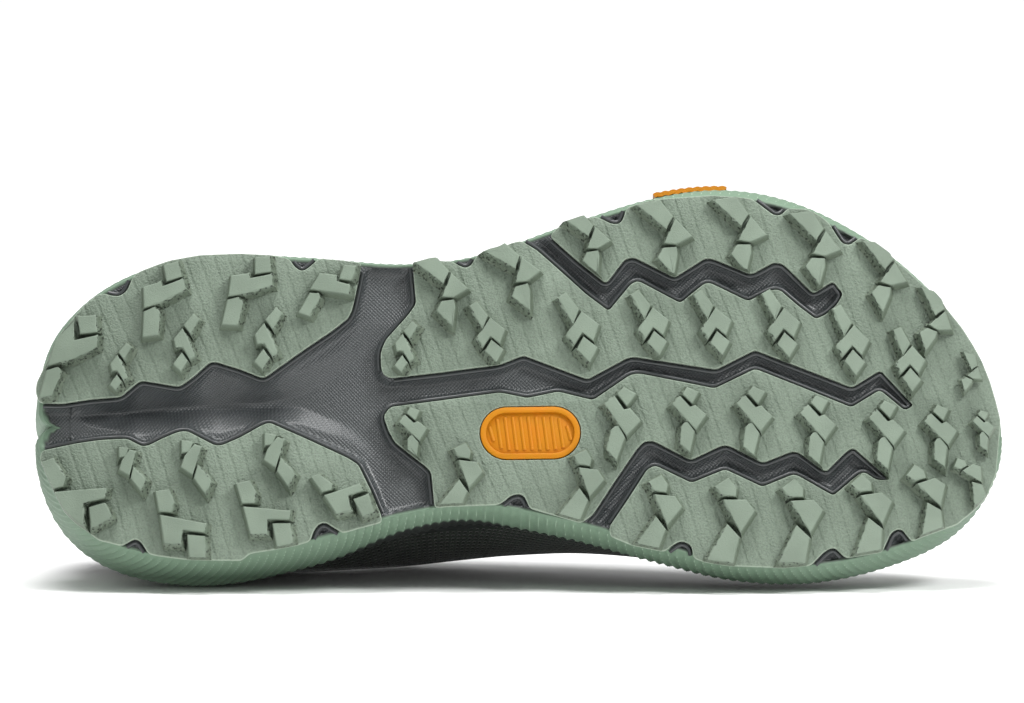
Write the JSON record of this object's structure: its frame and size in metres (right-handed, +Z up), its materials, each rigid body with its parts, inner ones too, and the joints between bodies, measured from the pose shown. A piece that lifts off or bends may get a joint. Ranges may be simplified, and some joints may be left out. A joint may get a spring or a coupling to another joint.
{
  "type": "trail running shoe",
  "caption": "Low trail running shoe for the right foot, lying on its side: lugged rubber pods, a thick foam sole with a ribbed rim, and a hollow laced upper.",
  "frame": {"origin": "on the floor under the middle of the shoe's box, as the shoe lies on its medial side", "axes": "+X from the heel to the toe, +Y from the tread towards the collar, +Z up towards the lateral side"},
  "size_m": [0.3076, 0.1346, 0.1253],
  "materials": {
    "upper_mesh": "matte",
    "padding": "matte",
    "dark_foam": "matte",
    "green_foam": "matte",
    "outsole_rubber": "satin",
    "orange_rubber": "satin",
    "overlay_film": "matte",
    "eyestay_film": "matte",
    "lace_cord": "matte"
  },
  "bodies": {
    "root": {"upper": "upper_mesh", "tongue": "padding", "insole": "padding", "midsole_core": "dark_foam", "midsole_rim": "green_foam", "outsole_heel_lateral": "outsole_rubber", "outsole_heel_medial": "outsole_rubber", "outsole_forefoot": "outsole_rubber", "sole_inlay": "orange_rubber", "side_tab": "orange_rubber", "toe_cap": "overlay_film", "heel_counter": "overlay_film", "eyestay": "eyestay_film", "lace": "lace_cord"}
  },
  "joints": []
}
